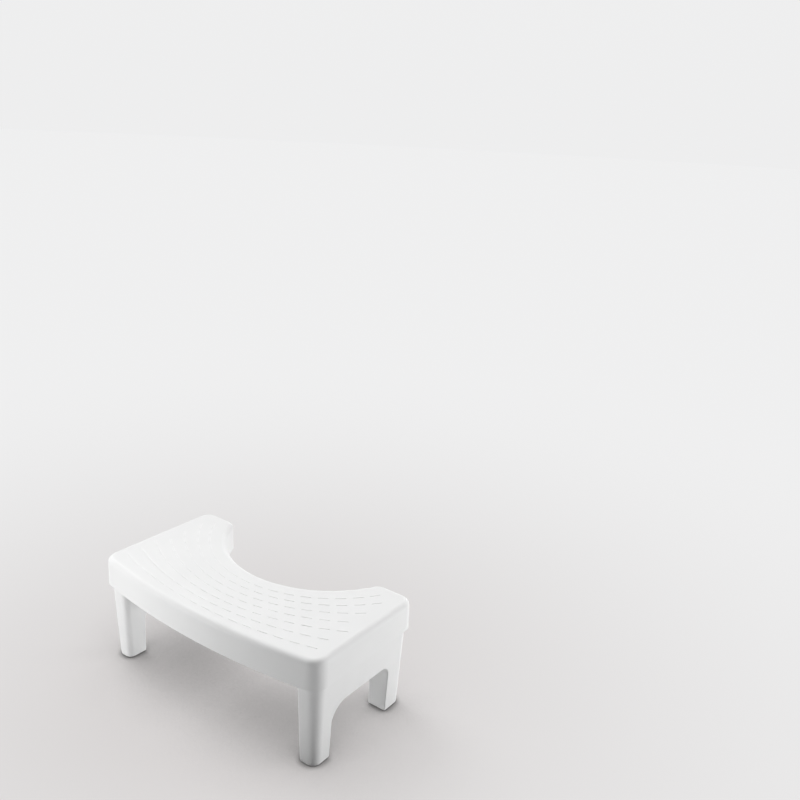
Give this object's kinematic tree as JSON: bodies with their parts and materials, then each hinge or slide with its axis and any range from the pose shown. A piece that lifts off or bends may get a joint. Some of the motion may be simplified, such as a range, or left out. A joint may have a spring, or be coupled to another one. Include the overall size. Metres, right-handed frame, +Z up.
{
  "type": "toilet footstool",
  "caption": "Low white plastic footstool with a bowed front edge, a deep round cut-out at the rear, anti-slip dashes and arched plug-in leg frames.",
  "frame": {"origin": "on the floor, at the bottom centre of the whole stool's box", "axes": "+X along the stool's length to its right end, +Y from the bowed front edge back to the cut-out, +Z up"},
  "size_m": [0.405, 0.2154, 0.16],
  "materials": {
    "deck_shell": "satin moulded",
    "leg_shell": "satin moulded",
    "foot_pad": "matte"
  },
  "bodies": {
    "deck": {"deck": "deck_shell"},
    "leg_frame_left": {"leg_frame_left": "leg_shell", "foot_pad_front_left": "foot_pad", "foot_pad_rear_left": "foot_pad"},
    "leg_frame_right": {"leg_frame_right": "leg_shell", "foot_pad_front_right": "foot_pad", "foot_pad_rear_right": "foot_pad"}
  },
  "joints": [
    {"name": "left_frame_pull", "type": "slide", "parent": "deck", "child": "leg_frame_left", "axis": [0, 0, -1], "range_m": [0, 0.045]},
    {"name": "right_frame_pull", "type": "slide", "parent": "deck", "child": "leg_frame_right", "axis": [0, 0, -1], "range_m": [0, 0.045]}
  ]
}
